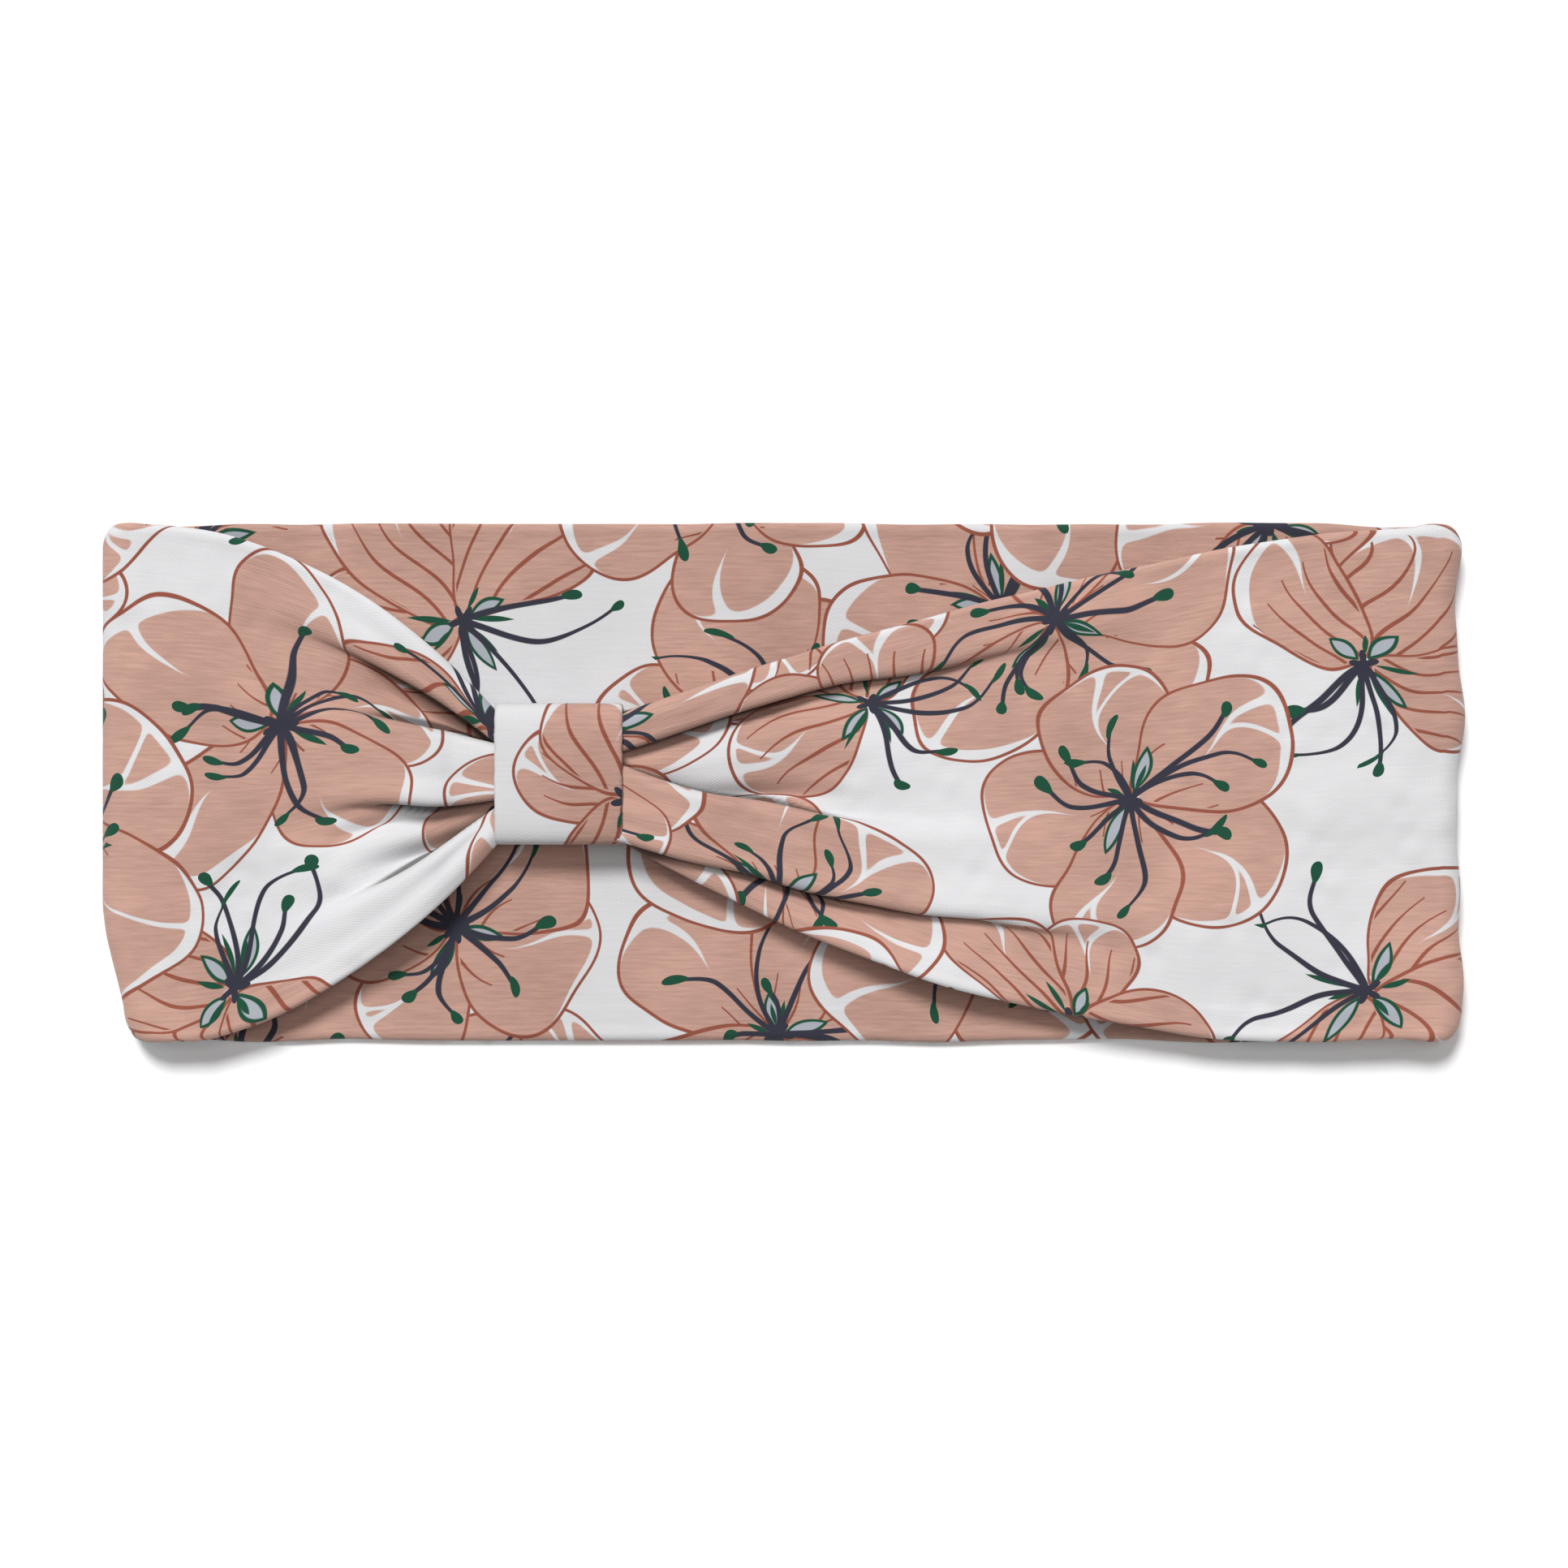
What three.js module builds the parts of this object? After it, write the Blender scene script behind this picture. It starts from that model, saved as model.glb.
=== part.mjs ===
// A knotted headband: a stretchy double-ply jersey loop lying flat, its front gathered through a fabric tab.
//
// The band is one strip of jersey, folded lengthwise, sewn along one long edge and turned right side out,
// so each layer has a face ply, on the outside of the loop, and a lining ply, on the side of the head.
// Its two ends are joined under the tab. The loop lies on its back panel. At each end it folds over into
// a front wing, and both wings narrow into the pleated neck that the tab holds.
//
// Frame: millimetres. X runs along the band, Y across its width, +Z up. The origin is on the resting
// plane, under the centre of the flattened loop.
import * as THREE from "three";

// Driving dimensions
const FLAT_LENGTH = 230; // from fold to fold
const BAND_WIDTH = 88; // across the finished band
const PLY = 0.5; // one ply of jersey
const PART_GAP = 0.3; // air between neighbouring solids
const TAB_CENTRE_X = -37.4; // the tab lies off the middle of the flattened loop
const TAB_CENTRE_Y = 1.4;
const TAB_LENGTH = 21.6; // along the band
const TAB_WIDTH = 23.8; // across the band
const TAB_CORNER = 3; // rounding of the tab where it turns over the neck
const NECK_HEIGHT = 6.3; // height of the pleated bundle in the tab
const TAB_CLEARANCE = 1.2; // between the back panel and the tab's underside
const PLEATS = 2.5; // waves across the gathered band, ending at mid-height on both edges
const JOIN_LENGTH = 1; // of the cross seam, along the band
const THREAD = 0.36; // diameter of the sewing thread
const STITCHES = 9; // there-and-back stitches that close the tab

// How quickly each wing widens away from the tab: the exponent of its outline's curve.
const WIDENING = { left: 2.2, right: 1.9 };

// Worked out from the driving dimensions
const PLY_SPACE = PLY + 2 * PART_GAP; // between a layer's two plies, room for the turned-in seam edge
const LAYER = 2 * PLY + PLY_SPACE;
const TAB_WALL = 2 * PLY + PART_GAP;
const TAB_HEIGHT = 2 * (TAB_WALL + PART_GAP) + NECK_HEIGHT;
const TAB_BOTTOM = LAYER + TAB_CLEARANCE;
const BACK_MID = LAYER / 2; // mid-height of the back panel
const FRONT_MID = TAB_BOTTOM + TAB_HEIGHT / 2; // mid-height of the front wings
const FOLD_RADIUS = (FRONT_MID - BACK_MID) / 2; // of the layer's middle, round each end fold
const FOLD_CENTRE_X = FLAT_LENGTH / 2 - FOLD_RADIUS - LAYER / 2;
const FOLD_CENTRE_Z = BACK_MID + FOLD_RADIUS;
const BAND_HALF = BAND_WIDTH / 2;
const NECK_HALF = TAB_WIDTH / 2 - TAB_WALL - PART_GAP;
const PLEAT_HEIGHT = (NECK_HEIGHT - LAYER) / 2; // amplitude of a pleat's wave at the neck

const SIDES = {
  left: { name: "left", sign: -1, tabEdge: TAB_CENTRE_X - TAB_LENGTH / 2 - PART_GAP },
  right: { name: "right", sign: 1, tabEdge: TAB_CENTRE_X + TAB_LENGTH / 2 + PART_GAP },
};

// Mesh density
const WING_STEPS = 11;
const FOLD_STEPS = 6;
const WIDTH_STEPS = 8 * PLEATS;
const SEAM_STEPS = 2; // the turned-in edge takes this many of the width steps

const jersey = new THREE.MeshStandardMaterial({ color: 0xdccfca, roughness: 0.9, metalness: 0 });
const jerseyReverse = new THREE.MeshStandardMaterial({ color: 0xe8e4e3, roughness: 0.92, metalness: 0 });
const thread = new THREE.MeshStandardMaterial({ color: 0xf5f3f0, roughness: 0.7, metalness: 0 });

// Each ply, and the turned-in edge between them: how far its two faces stand off the layer's middle,
// towards the outside of the loop, and how many width steps it covers, counted from the band's -Y edge.
const SHEETS = {
  face: { inner: PLY_SPACE / 2, outer: LAYER / 2, steps: WIDTH_STEPS },
  lining: { inner: -LAYER / 2, outer: -PLY_SPACE / 2, steps: WIDTH_STEPS },
  seam: { inner: -PLY / 2, outer: PLY / 2, steps: SEAM_STEPS },
};

// A closed sheet: a box whose every point is moved by place(along, across, offset). along runs from 0
// to 1, across from -1 at the band's -Y edge to 1, and offset from the sheet's inner to its outer face.
// turned is for sheets whose length runs against the box's, so that their faces still look outward.
function bentSheet(sheet, lengthSteps, turned, place) {
  const box = new THREE.BoxGeometry(1, 1, 1, lengthSteps, sheet.steps, 1);
  const points = box.getAttribute("position");
  for (let i = 0; i < points.count; i++) {
    const y = turned ? -points.getY(i) : points.getY(i);
    const across = -1 + ((y + 0.5) * 2 * sheet.steps) / WIDTH_STEPS;
    const offset = THREE.MathUtils.lerp(sheet.inner, sheet.outer, points.getZ(i) + 0.5);
    points.setXYZ(i, ...place(points.getX(i) + 0.5, across, offset).toArray());
  }
  box.computeVertexNormals();
  return box;
}

const pleatAt = (across) => PLEAT_HEIGHT * Math.cos(Math.PI * PLEATS * across);
const wingRun = (side) => Math.abs(side.sign * FOLD_CENTRE_X - side.tabEdge);

// A point of a wing: distance runs from the tab out to the end fold, and round it down to the back panel.
function wingPoint(side, distance, across, offset) {
  const run = wingRun(side);
  const gathered = Math.pow(Math.max(0, 1 - distance / run), WIDENING[side.name]);
  const y = across * THREE.MathUtils.lerp(BAND_HALF, NECK_HALF, gathered) + TAB_CENTRE_Y * gathered;
  if (distance <= run) {
    const z = FRONT_MID + pleatAt(across) * gathered + offset;
    return new THREE.Vector3(side.tabEdge + side.sign * distance, y, z);
  }
  const turn = (distance - run) / FOLD_RADIUS;
  const radius = FOLD_RADIUS + offset;
  const x = side.sign * (FOLD_CENTRE_X + radius * Math.sin(turn));
  return new THREE.Vector3(x, y, FOLD_CENTRE_Z + radius * Math.cos(turn));
}

// Where a wing's rows lie: closer together towards the tab, then evenly round the fold.
function wingDistance(side, along) {
  const row = along * (WING_STEPS + FOLD_STEPS);
  const run = wingRun(side);
  if (row <= WING_STEPS) return run * Math.pow(row / WING_STEPS, 1.3);
  return run + (Math.PI * FOLD_RADIUS * (row - WING_STEPS)) / FOLD_STEPS;
}

function wingSheet(side, sheet) {
  return bentSheet(sheet, WING_STEPS + FOLD_STEPS, side.sign < 0, (along, across, offset) =>
    wingPoint(side, wingDistance(side, along), across, offset),
  );
}

// The flat back panel: its face ply is underneath and its lining looks up into the loop.
function backSheet(sheet) {
  const half = FOLD_CENTRE_X - PART_GAP;
  return bentSheet(sheet, 1, true, (along, across, offset) =>
    new THREE.Vector3((2 * along - 1) * half, across * BAND_HALF, BACK_MID - offset),
  );
}

// A stretch of the pleated neck inside the tab, from one X to another.
function neckSheet(fromX, toX, sheet) {
  return bentSheet(sheet, 1, false, (along, across, offset) => {
    const x = THREE.MathUtils.lerp(fromX, toX, along);
    return new THREE.Vector3(x, TAB_CENTRE_Y + across * NECK_HALF, FRONT_MID + pleatAt(across) + offset);
  });
}

// A rounded rectangle in the YZ plane, drawn as (y, z), the given distance inside the tab's outline.
function tabOutline(inset, path = new THREE.Shape()) {
  const halfWidth = TAB_WIDTH / 2 - inset;
  const halfHeight = TAB_HEIGHT / 2 - inset;
  const radius = TAB_CORNER - inset;
  const [left, right] = [TAB_CENTRE_Y - halfWidth, TAB_CENTRE_Y + halfWidth];
  const [bottom, top] = [FRONT_MID - halfHeight, FRONT_MID + halfHeight];
  path.moveTo(left + radius, bottom);
  path.lineTo(right - radius, bottom);
  path.absarc(right - radius, bottom + radius, radius, -Math.PI / 2, 0, false);
  path.lineTo(right, top - radius);
  path.absarc(right - radius, top - radius, radius, 0, Math.PI / 2, false);
  path.lineTo(left + radius, top);
  path.absarc(left + radius, top - radius, radius, Math.PI / 2, Math.PI, false);
  path.lineTo(left, bottom + radius);
  path.absarc(left + radius, bottom + radius, radius, Math.PI, 1.5 * Math.PI, false);
  return path;
}

// One ply of the tab: a ring round the neck, extruded along X.
function tabRing(inset, length) {
  const shape = tabOutline(inset);
  shape.holes.push(tabOutline(inset + PLY, new THREE.Path()));
  const ring = new THREE.ExtrudeGeometry(shape, { depth: length, bevelEnabled: false, curveSegments: 5 });
  const alongX = new THREE.Matrix4().makeBasis(
    new THREE.Vector3(0, 1, 0),
    new THREE.Vector3(0, 0, 1),
    new THREE.Vector3(1, 0, 0),
  );
  ring.applyMatrix4(alongX);
  ring.translate(TAB_CENTRE_X - length / 2, 0, 0);
  return ring;
}

// The thread that closes the tab on its underside: a ladder of slanting stitches along X.
function closingThread() {
  const reach = 1.3;
  const half = TAB_LENGTH / 2 - 2;
  const z = TAB_BOTTOM - THREAD / 2 - PART_GAP / 2;
  const points = [];
  for (let i = 0; i <= 2 * STITCHES; i++) {
    const x = TAB_CENTRE_X - half + (i / (2 * STITCHES)) * 2 * half;
    points.push(new THREE.Vector3(x, TAB_CENTRE_Y + (i % 2 ? reach : -reach), z));
  }
  const section = new THREE.Shape();
  section.absarc(0, 0, THREAD / 2, 0, 2 * Math.PI, false);
  return new THREE.ExtrudeGeometry(section, {
    steps: 6 * STITCHES,
    curveSegments: 4,
    bevelEnabled: false,
    extrudePath: new THREE.CatmullRomCurve3(points, false, "catmullrom", 0.3),
  });
}

function named(name, geometry, material) {
  const mesh = new THREE.Mesh(geometry, material);
  mesh.name = name;
  return mesh;
}

// The band: the flat back panel and the two wings, each with its face, its lining and its turned-in edge.
function band() {
  const group = new THREE.Group();
  const plies = [
    ["face_ply", SHEETS.face, jersey],
    ["lining_ply", SHEETS.lining, jersey],
    ["seam_allowance", SHEETS.seam, jerseyReverse],
  ];
  for (const [ply, sheet, material] of plies) {
    group.add(named(`back_panel_${ply}`, backSheet(sheet), material));
    for (const side of Object.values(SIDES)) {
      group.add(named(`${side.name}_wing_${ply}`, wingSheet(side, sheet), material));
    }
  }
  return group;
}

// The knot: the pleated neck either side of the seam that joins the band's ends, and the tab round it.
function knot() {
  const group = new THREE.Group();
  const neckEnd = TAB_LENGTH / 2 - PART_GAP;
  const neckStart = JOIN_LENGTH / 2 + PART_GAP;
  for (const side of Object.values(SIDES)) {
    const ends = [side.sign * neckStart, side.sign * neckEnd].sort((a, b) => a - b);
    const [fromX, toX] = ends.map((x) => TAB_CENTRE_X + x);
    group.add(named(`${side.name}_neck_face_ply`, neckSheet(fromX, toX, SHEETS.face), jersey));
    group.add(named(`${side.name}_neck_lining_ply`, neckSheet(fromX, toX, SHEETS.lining), jersey));
  }
  const join = { inner: -LAYER / 2, outer: LAYER / 2, steps: WIDTH_STEPS };
  const joinStart = TAB_CENTRE_X - JOIN_LENGTH / 2;
  group.add(
    named("band_join_seam", neckSheet(joinStart, joinStart + JOIN_LENGTH, join), jerseyReverse),
    named("tab_outer_ply", tabRing(0, TAB_LENGTH), jersey),
    named("tab_inner_ply", tabRing(PLY + PART_GAP, TAB_LENGTH - 2 * PLY), jerseyReverse),
    named("tab_closing_thread", closingThread(), thread),
  );
  return group;
}

const headband = new THREE.Group();
headband.add(band(), knot());

export default headband;
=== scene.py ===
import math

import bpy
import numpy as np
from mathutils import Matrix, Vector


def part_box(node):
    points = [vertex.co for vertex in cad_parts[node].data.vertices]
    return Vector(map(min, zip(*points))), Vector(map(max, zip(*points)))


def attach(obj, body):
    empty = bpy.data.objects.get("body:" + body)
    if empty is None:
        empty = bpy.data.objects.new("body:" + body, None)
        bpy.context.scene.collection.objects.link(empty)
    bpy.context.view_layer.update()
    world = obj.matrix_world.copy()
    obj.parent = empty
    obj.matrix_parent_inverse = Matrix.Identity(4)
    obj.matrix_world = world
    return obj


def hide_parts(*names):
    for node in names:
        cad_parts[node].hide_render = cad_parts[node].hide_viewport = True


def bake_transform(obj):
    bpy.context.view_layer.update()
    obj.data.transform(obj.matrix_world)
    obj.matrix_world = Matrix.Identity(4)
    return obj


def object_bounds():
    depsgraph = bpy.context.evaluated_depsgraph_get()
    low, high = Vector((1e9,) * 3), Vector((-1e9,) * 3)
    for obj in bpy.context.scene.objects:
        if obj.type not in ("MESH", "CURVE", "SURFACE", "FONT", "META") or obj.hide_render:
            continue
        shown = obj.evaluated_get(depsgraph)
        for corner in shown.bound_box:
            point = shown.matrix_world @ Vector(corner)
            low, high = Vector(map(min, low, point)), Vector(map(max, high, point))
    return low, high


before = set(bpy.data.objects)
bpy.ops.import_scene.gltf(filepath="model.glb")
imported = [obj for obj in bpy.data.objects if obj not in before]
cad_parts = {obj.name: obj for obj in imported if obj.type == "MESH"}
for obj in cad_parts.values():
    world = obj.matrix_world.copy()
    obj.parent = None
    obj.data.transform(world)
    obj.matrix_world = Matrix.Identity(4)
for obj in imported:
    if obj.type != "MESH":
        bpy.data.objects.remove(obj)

# A knotted headband of printed double-ply jersey, lying flat. The band is one continuous surface: it leaves
# the knot to the left, turns under at the left end, runs back flat, turns over at the right end and comes
# back to the knot. Each cross-section of its front is a meander of folds that takes up the spare width.
# Lengths are in millimetres until a mesh is made.

cad_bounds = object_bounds()
MM = 0.001
SEED = 11


def cad_box(node):
    low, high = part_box(node)
    return np.array(low) / MM, np.array(high) / MM


# The frame's sizes
tab_low, tab_high = cad_box("tab_outer_ply")
back_low, back_high = cad_box("back_panel_face_ply")
HALF_LENGTH = (cad_bounds[1][0] - cad_bounds[0][0]) / 2 / MM
BAND_WIDTH = back_high[1] - back_low[1]
BAND_HALF = BAND_WIDTH / 2
TAB_MID_X = (tab_low[0] + tab_high[0]) / 2
TAB_MID_Y = (tab_low[1] + tab_high[1]) / 2
TAB_HALF_X = (tab_high[0] - tab_low[0]) / 2

# The band's own sizes
LAYER = 1.3  # two plies of jersey
BACK_MID = LAYER / 2 + 0.2
FRONT_MID = 7.5  # mid-height of the front where it is flat
KNOT_BASE = 5.75  # mid-height of the lowest folds at the tab
FOLD_RADIUS = (FRONT_MID - BACK_MID) / 2
FOLD_X = HALF_LENGTH - FOLD_RADIUS - LAYER / 2
CORNER_RADIUS = 4.5  # of the outline at the end folds
SPLIT_ROWS = 6  # how many rows before its end fold a front piece ends
JOIN_HALF = 5.1  # half the width of the cross seam in the knot
SEAM_ALLOWANCE = 5.8  # of the long seam, turned in along the band's -Y edge
EDGE_ROUND = 0.9  # how far in from an edge the layer reaches its full thickness
TURN_RADIUS = 0.92  # of a pleat's turn at the tab
TURN_SPREAD = 0.008  # how much that radius grows with each millimetre away from the tab
RUN_UNIT = 3.0  # how far a pleat of strength 2 runs back under itself
DENT = 1.0  # depth of the flat cloth's shallow dents
CRUMPLE = 0.28  # and of its smaller crumples
BACK_DENT = 0.18  # how far the back rises off the floor in places
# Painted shade: the print's colour is darkened in the creases, by how deep they lie below the cloth beside
# them.
CREASE_REACH = 1.9  # how near the cloth beside a crease stands that keeps light out of it, for the painted crease shade
CREASE_DEPTHS = (0.6, 2.0)  # where the painted crease shade begins, and where it is darkest
CREASE_SHADE = 0.75  # how much the painted shade darkens the colour of the darkest crease
CURL = math.radians(62)  # of the band's edges at the tab
KNOT_REACH = 14.0  # how far from the tab the knot's pull changes the pleats
NECK_WIDTH = 21  # of the outline at the tab
NECK_SHRINK = 0.33  # how much narrower the pulled jersey gets at the tab
SHRINK_POWER = 0.6  # how that fades as the front widens
NECK_ROOM = 4.6  # the most that the middle surface rises and falls across the front
SAG_REACH = 8.0  # how far from a pleat the cloth is back at its own level, away from the tab
KNOT_SAG_REACH = 24.0  # the same at the tab, where it can't sag
MOST_GAIN = 2.5  # the strongest that the pleats may become, and the step of the search for it
GAIN_STEP = 0.08

# Each side of the front. Its outline is (y at the tab, length of the curve, exponent) for the +Y and the -Y
# edge. Its pleats, from the +Y edge to the -Y edge, are (place across at the tab, place across where it
# fades, way up or down, strength, fading length). Its folds flatten over the length called flattening.
# Its valleys, where the cloth hangs deepest, are (pleat, how far beside it, depth, width, fading length).
FRONT = {
    "left": {
        "sign": -1,
        "tab": tab_low[0],
        "top": (11.4, 66, 2.3),
        "bottom": (-9.9, 60, 2.1),
        "pleats": [
            (0.125, 0.155, -1, 1.87, 49),
            (0.34, 0.345, 1, 2.0, 37),
            (0.575, 0.575, -1, 2.1, 32),
            (0.867, 0.80, 1, 2.25, 29),
        ],
        "flattening": 36,
        "valleys": [
            (1, -0.09, 3.2, 3.2, 30),
            (2, 0.08, 2.2, 2.0, 34),
            (3, -0.075, 3.6, 2.8, 26),
        ],
    },
    "right": {
        "sign": 1,
        "tab": tab_high[0],
        "top": (11.4, 145, 1.6),
        "bottom": (-9.7, 125, 2.2),
        "pleats": [
            (0.15, 0.135, -1, 1.9, 88),
            (0.475, 0.56, 1, 1.66, 46),
            (0.796, 0.793, -1, 2.47, 82),
        ],
        "flattening": 110,
        "valleys": [
            (0, 0.095, 3.0, 3.0, 44),
            (1, -0.085, 2.4, 2.2, 40),
            (2, 0.095, 2.6, 3.0, 60),
        ],
    },
}

# The print's palette, linear
GROUND = (0.665, 0.66, 0.672)
PETAL = (0.500, 0.300, 0.242)
RUST = (0.275, 0.080, 0.050)
NAVY = (0.032, 0.033, 0.050)
GREEN = (0.010, 0.070, 0.038)
LEAF = (0.37, 0.39, 0.43)

TAB_UNDER = tab_low[2] + 0.5  # the tab's underside and top, before they crown
TAB_TOP = tab_high[2] - 0.55
TAB_WALL = 1.25  # two plies
TAB_EDGE = 0.75  # how far in from its ends the tab's wall reaches its full thickness
TAB_SQUARENESS = 2 / 3.6
TAB_RUFFLE = 0.12  # how far its ends wander in and out
THREAD_RADIUS = 0.18

PRINT_STEP = 46  # spacing of the blossoms
TAB_PRINT = (60, -40)  # where the tab was cut from the print
INNER_PRINT_SHIFT = 44  # from there to the part of it that is turned inwards
PETALS = 5
PRINT_SWAY = 7  # how far the drawing wanders off the true shapes
WALE, COURSE = 0.55, 0.7  # width and height of a knitted stitch
SLOTS = 3  # blossoms that one spot of the print can lie on


# ---------------------------------------------------------------- the band's surface


def smooth(low, high, value):
    t = np.clip((value - low) / (high - low), 0, 1)
    return t * t * (3 - 2 * t)


def waves(position, scale, seed):
    """A smooth, seeded irregular curve of one coordinate, roughly from -1 to 1."""
    rng = np.random.default_rng(SEED + seed)
    total = 0
    for octave in range(3):
        phase, stretch = rng.uniform(0, 2 * math.pi), rng.uniform(0.8, 1.25)
        total = total + np.sin(position * 2 * math.pi / scale * stretch * 1.7**octave + phase) / 1.6**octave
    return total / 2


# Where the band is sampled across its width, from its +Y edge to its -Y edge: denser at both edges.
EDGE_SAMPLES = np.array([0, 0.03, 0.1, 0.22, 0.4, 0.62, 0.9]) / BAND_WIDTH
ACROSS = np.concatenate([
    EDGE_SAMPLES,
    np.linspace(1.25 / BAND_WIDTH, 1 - 1.25 / BAND_WIDTH, 196),
    1 - EDGE_SAMPLES[::-1],
])
FINE = np.linspace(0, 1, 901)  # where a cross-section is integrated


def pleat_angle(at, turn, strength):
    """The slope angle of one pleat: it turns, may run back under itself, and turns again."""
    peak = math.pi * min(strength, 1)
    run = RUN_UNIT * max(strength - 1, 0)
    rise = smooth(-run / 2 - turn, -run / 2, at)
    fall = smooth(run / 2, run / 2 + turn, at)
    return peak * (rise - fall)


def pleat_place(side, number, away):
    """Where across the band a pleat's middle lies: it shifts near the tab and wanders a little."""
    place, far_place = side["pleats"][number][:2]
    wander = 0.012 * waves(away, 70, 10 * number + side["sign"])
    return far_place + (place - far_place) * math.exp(-away / KNOT_REACH) + wander


def meander(side, distance, width, gain):
    """A cross-section's y and z, before it is placed, for the fine samples across."""
    away = max(distance, 0)
    turn = math.pi * (TURN_RADIUS + TURN_SPREAD * away)
    along = FINE * width
    angle = np.zeros_like(along)
    for number, (_, _, way, strength, fading) in enumerate(side["pleats"]):
        faded = strength * math.exp(-((away / fading) ** 1.6))
        angle += way * pleat_angle(along - pleat_place(side, number, away) * width, turn, gain * faded)
    curl = CURL * math.exp(-away / 30)
    angle += curl * (1 - smooth(0, 3.2, along)) - curl * (1 - smooth(0, 3.2, width - along))
    step = width / (len(FINE) - 1)
    y = -np.concatenate([[0], np.cumsum(np.cos((angle[1:] + angle[:-1]) / 2))]) * step
    z = np.concatenate([[0], np.cumsum(np.sin((angle[1:] + angle[:-1]) / 2))]) * step
    return y, z


def fitted_meander(side, distance, width, span):
    """The meander whose pleats are just strong enough to bring the width down to the span."""

    def excess(gain):
        y, _ = meander(side, distance, width, gain)
        return y.max() - y.min() - span

    high = 0.0
    while excess(high) > 0 and high < MOST_GAIN:
        high += GAIN_STEP
    low = max(0, high - GAIN_STEP)
    for _ in range(14):
        middle = (low + high) / 2
        if excess(middle) > 0:
            low = middle
        else:
            high = middle
    return meander(side, distance, width, high)


def settle(z, width, away):
    """Lets a cross-section sag back to one level away from its pleats."""
    reach = SAG_REACH + (KNOT_SAG_REACH - SAG_REACH) * math.exp(-away / KNOT_REACH)
    spread = int(reach / width * len(FINE))
    kernel = np.exp(-0.5 * (np.arange(-2 * spread, 2 * spread + 1) / spread) ** 2)
    padded = np.pad(z, 2 * spread, mode="symmetric")
    return z - np.convolve(padded, kernel / kernel.sum(), mode="valid")


def outline(side, edge, distance):
    start, length, power = side[edge]
    full = BAND_HALF if edge == "top" else -BAND_HALF
    open_share = 1 - max(0, 1 - max(distance, 0) / length) ** power
    return start + (full - start) * open_share


def cross_section(side, distance):
    """The front's middle surface at a distance from the tab: y and z across the band."""
    top, bottom = outline(side, "top", distance), outline(side, "bottom", distance)
    span = top - bottom
    gathered = (BAND_WIDTH - span) / (BAND_WIDTH - NECK_WIDTH)
    width = BAND_WIDTH * (1 - NECK_SHRINK * min(1, max(0, gathered)) ** SHRINK_POWER)
    y, z = fitted_meander(side, distance, width, span)
    y = (y - y.min()) * span / (y.max() - y.min()) + bottom
    away = max(distance, 0)
    rest = KNOT_BASE + (FRONT_MID - KNOT_BASE) * smooth(0, 55, away)
    z = settle(z, width, away)
    fill = (1 + 0.15 * math.exp(-away / KNOT_REACH)) * math.exp(-((away / side["flattening"]) ** 2))
    z = z * min(fill, NECK_ROOM / (z.max() - z.min()))
    z = z - z.min() + rest
    for number, beside, depth, spread, fading in side["valleys"]:
        open_here = smooth(0, 2, away) * (1 - smooth(fading / 2, fading, away))
        off = (FINE - pleat_place(side, number, away) - beside) * width
        z = z - depth * open_here * np.exp(-((off / spread) ** 2))
    near = math.exp(-away / 26)
    fine_pleats = np.sin(FINE * 61 + 1.3 * waves(FINE * 88, 31, 3 + side["sign"]))
    z = z + 0.2 * near * fine_pleats
    return np.interp(ACROSS, FINE, y), np.interp(ACROSS, FINE, z)


def front_rows(name):
    """Points of one side of the front, from inside the tab out to where the end fold starts."""
    side = FRONT[name]
    run = abs(side["sign"] * FOLD_X - side["tab"])
    inside = TAB_HALF_X - JOIN_HALF - 0.3
    steps = int(run / 1.25)
    near = np.linspace(-inside, 0, 9)[:-1]
    distances = np.concatenate([near, run * (np.arange(steps + 1) / steps) ** 1.15])
    rows = []
    for distance in distances:
        y, z = cross_section(side, distance)
        x = np.full_like(y, side["tab"] + side["sign"] * distance)
        rows.append(np.stack([x, y, z], 1))
    return np.array(rows)


def flat_y():
    return BAND_HALF - ACROSS * BAND_WIDTH


def fold_rows(sign):
    """Points of an end fold, from the front down to the back."""
    rows = []
    for turn in np.linspace(0, math.pi, 17)[1:-1]:
        x = sign * (FOLD_X + FOLD_RADIUS * math.sin(turn))
        z = BACK_MID + FOLD_RADIUS * (1 + math.cos(turn))
        rows.append(np.stack([np.full_like(ACROSS, x), flat_y(), np.full_like(ACROSS, z)], 1))
    return np.array(rows)


def back_rows():
    rows = []
    for x in np.linspace(-FOLD_X, FOLD_X, 90):
        rows.append(np.stack([np.full_like(ACROSS, x), flat_y(), np.full_like(ACROSS, BACK_MID)], 1))
    return np.array(rows)


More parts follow.
